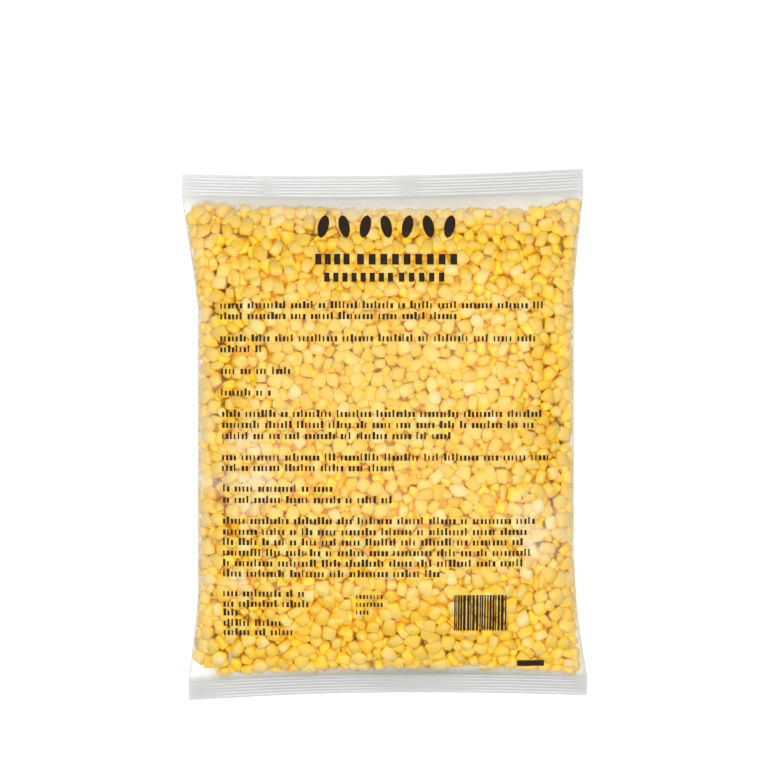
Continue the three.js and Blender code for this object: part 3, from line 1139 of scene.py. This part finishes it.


# Clear film: see-through, with a pale veil where it is hazy, sealed or painted with sheen, a painted shadow
# inside the foot seal, a painted veil of reflection and shade along the sides, and gloss that grows as base
# + rise x (1 - cosine) ^ power.
def filmMaterial():
    material, tree = newMaterial("clearFilm")
    seal, hazeAndSheen, footShadow, side = (readAttribute(tree, name) for name in ("seal", "hazeAndSheen", "footShadow", "side"))
    start, rate = filmFinish["cloud"]
    cloud = calculate(tree, "SUBTRACT", addNoise(tree, *filmFinish["clouds"]), start, clamp=True)
    hazeAndSheen = times(tree, hazeAndSheen, times(tree, cloud, rate, clamp=True))
    cover = times(tree, hazeAndSheen, filmFinish["hazeAndSheenCover"])
    for mask, share in ((seal, "sealCover"), (side, "sideCover"), (footShadow, "footShadowCover")):
        cover = calculate(tree, "MAXIMUM", cover, times(tree, mask, filmFinish[share]))
    facing = addNode(tree, "ShaderNodeLayerWeight", {"Blend": 0.5}).outputs["Facing"]
    most, power = filmFinish["grazing"]
    grazing = times(tree, calculate(tree, "POWER", facing, power), most)
    cover = calculate(tree, "ADD", cover, grazing, clamp=True)
    across, along, _ = addNode(tree, "ShaderNodeSeparateXYZ", {"Vector": readPlace(tree)}).outputs
    headward = calculate(tree, "GREATER_THAN", along, 0.0)
    sealColour = blendColours(tree, headward, filmFinish["footSeal"], filmFinish["headSeal"])
    fall = times(tree, headward, times(tree, across, filmFinish["fall"]))
    sealColour = blendColours(tree, 1.0, sealColour, calculate(tree, "SUBTRACT", 1.0, fall), "MULTIPLY")
    colour = blendColours(tree, side, filmFinish["hazeAndSheen"], filmFinish["side"])
    colour = blendColours(tree, seal, colour, sealColour)
    colour = blendColours(tree, footShadow, colour, filmFinish["footShadow"])
    bump = addBump(tree, addNoise(tree, *filmFinish["ripples"]), *filmFinish["bump"])
    veil = addNode(tree, "ShaderNodeBsdfPrincipled", {
        "Base Color": colour, "Roughness": filmFinish["veilRoughness"], "Normal": bump,
    })
    clear = addNode(tree, "ShaderNodeBsdfTransparent", {"Color": (1, 1, 1, 1)})
    body = addNode(tree, "ShaderNodeMixShader", {0: cover, 1: clear.outputs[0], 2: veil.outputs[0]})
    gloss = addNode(tree, "ShaderNodeBsdfAnisotropic", {
        "Color": (1, 1, 1, 1), "Roughness": filmFinish["roughness"], "Normal": bump,
    })
    base, rise, power = filmFinish["mirror"]
    facing = addNode(tree, "ShaderNodeLayerWeight", {"Blend": 0.5, "Normal": bump}).outputs["Facing"]
    mirror = calculate(tree, "MULTIPLY_ADD", calculate(tree, "POWER", facing, power), rise, base)
    whole = addNode(tree, "ShaderNodeMixShader", {0: mirror, 1: body.outputs[0], 2: gloss.outputs[0]})
    addNode(tree, "ShaderNodeOutputMaterial", {"Surface": whole.outputs[0]})
    return material


inkColours = ((0.012, 0.007, 0.004, 1), (0.035, 0.020, 0.010, 1))
inkPatches = (600.0, 3.0)  # scale and detail of the noise between them
inkFinish = {"Roughness": 0.5, "Specular IOR Level": 0.12}


# Black ink: satin, slightly patchy.
def inkMaterial():
    material, tree = newMaterial("blackInk")
    colour = blendColours(tree, addNoise(tree, *inkPatches), *inkColours)
    addSurface(tree, {"Base Color": colour, **inkFinish})
    return material


# Camera, light and floor.


shot = {
    "level": 15.0,  # height above the table at which sizes are set
    "distance": 1502.0,  # of the camera from that level
    "field": 422.4,  # what the picture shows there, from side to side
    "aim": (-0.3, 27.9),
    "sensor": 36.0,
}


# The camera looks straight down: its lens is sensor x distance / field.
def makeCamera():
    data = bpy.data.cameras.new("camera")
    data.sensor_width = shot["sensor"]
    data.lens = shot["sensor"] * shot["distance"] / shot["field"]
    camera = bpy.data.objects.new("camera", data)
    camera.location = np.array([*shot["aim"], shot["distance"] + shot["level"]]) * toMetres
    scene.collection.objects.link(camera)
    scene.camera = camera


studio = {
    "world": 0.30,
    "boxes": 4,  # soft boxes in a ring, and one overhead
    "distance": 1.6,
    "height": 62.0,  # degrees above the table
    "first": 38.0,  # degrees round from X
    "size": 1.1,
    "watts": (1.9, 2.5, 2.0, 1.6),
    "overhead": (2.2, 2.2, 49.0),  # distance, size and watts
}
floorLook = {
    "size": 3000.0, "drop": 0.3, "tones": (0.95, 0.94), "patches": 3.0, "roughness": 0.8, "glow": 0.18,
}


# Soft boxes on a ring and one overhead, all turned to the bag. Place on the ring = distance times
# (cos up cos round, cos up sin round, sin up).
def makeStudio():
    world = bpy.data.worlds.new("studio")
    world.use_nodes = True
    sky = world.node_tree.nodes["Background"].inputs
    sky["Color"].default_value = (1, 1, 1, 1)
    sky["Strength"].default_value = studio["world"]
    scene.world = world
    up = np.radians(studio["height"])
    around = np.radians(studio["first"] + 360 * np.arange(studio["boxes"]) / studio["boxes"])
    ring = np.stack([np.cos(up) * np.cos(around), np.cos(up) * np.sin(around), np.sin(up) + 0 * around], -1)
    above, broad, power = studio["overhead"]
    places = np.concatenate([studio["distance"] * ring, [[0, 0, above]]])
    boxes = studio["boxes"]
    for place, size, watts in zip(places, [studio["size"]] * boxes + [broad], (*studio["watts"], power)):
        data = bpy.data.lights.new("softBox", "AREA")
        data.size, data.energy = size, watts
        lamp = bpy.data.objects.new("softBox", data)
        lamp.location = place
        lamp.rotation_euler = Vector(-place).to_track_quat("-Z", "Y").to_euler()
        scene.collection.objects.link(lamp)
    scene.view_settings.view_transform = "Standard"


# A plain pale floor just under the bag, lifted to white round it by a faint glow.
def makeFloor():
    size, drop = floorLook["size"], floorLook["drop"]
    corners = ((-size, -size), (size, -size), (size, size), (-size, size))
    points = np.array([[x, y, -drop] for x, y in corners])
    floor = makePiece("floor", points, np.array([[0, 1, 2, 3]]))
    material, tree = newMaterial("paleFloor")
    light, dark = ((tone, tone, tone, 1) for tone in floorLook["tones"])
    addSurface(tree, {
        "Base Color": blendColours(tree, addNoise(tree, floorLook["patches"]), light, dark),
        "Roughness": floorLook["roughness"],
        "Emission Color": (1, 1, 1, 1), "Emission Strength": floorLook["glow"],
    })
    floor.data.materials.append(material)


# Putting it together.


# Gives a piece its material and its body.
def finishPiece(piece, material):
    piece.data.materials.append(material)
    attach(piece, "root")


# The pieces of kernels, one for each kind, with their tone, place along the kernel and share of painted
# glow by depth as values.
def makeKernels(kernels, kinds, quads, triangles):
    group = makeCornGroup()
    tones = random.random(len(kernels))
    paintedGlow = paintedGlowShare(kernels)
    along = np.concatenate([np.repeat(kernelRings["along"], kernelRings["around"]), [0.0, 1.0]])
    for number, name in enumerate(kernelKinds):
        mine = kinds == number
        count = np.count_nonzero(mine)
        first = len(along) * np.arange(count)[:, None, None]
        values = {"tone": np.repeat(tones[mine], len(along)), "along": np.tile(along, count)}
        values["paintedGlow"] = paintedGlow[mine]
        ours = (quads + first).reshape(-1, 4), (triangles + first).reshape(-1, 3)
        piece = makePiece(name, kernels[mine].reshape(-1, 3), *ours, values)
        finishPiece(piece, cornMaterial(group, name + "_flesh", cornColours[name]))


makeCamera()
print("camera set")

kinds, kernels = layKernels()
print("kernels settled:", len(kernels))

quads, triangles = kernelFaces()
corners = np.concatenate([quads, np.concatenate([triangles, triangles[:, 2:]], 1)])
faceMiddles = kernels[:, corners].mean(2)  # near enough the middles for the fans' triangles
samples = np.concatenate([kernels.reshape(-1, 3), faceMiddles.reshape(-1, 3)])
upperLift = skinOver(upperMap, samples, 1)
lowerLift = skinOver(lowerMap, samples, -1)
film = makeFilm()
finishPiece(film, filmMaterial())
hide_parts("filled_bag")
kernels, covered = pressUnder(kernels)
kinds, kernels = kinds[covered], kernels[covered]
print("film drawn over the kernels; left out at its corners:", np.count_nonzero(~covered))

makeKernels(kernels, kinds, quads, triangles)
finishPiece(makeCore(), coreMaterial())
print("kernels and core built")

ink = inkMaterial()
for piece in makePrint():
    finishPiece(piece, ink)
    piece.visible_shadow = False  # ink on the film is too close to the kernels to shade them
print("print laid on the film")

makeStudio()
makeFloor()
print("studio set")
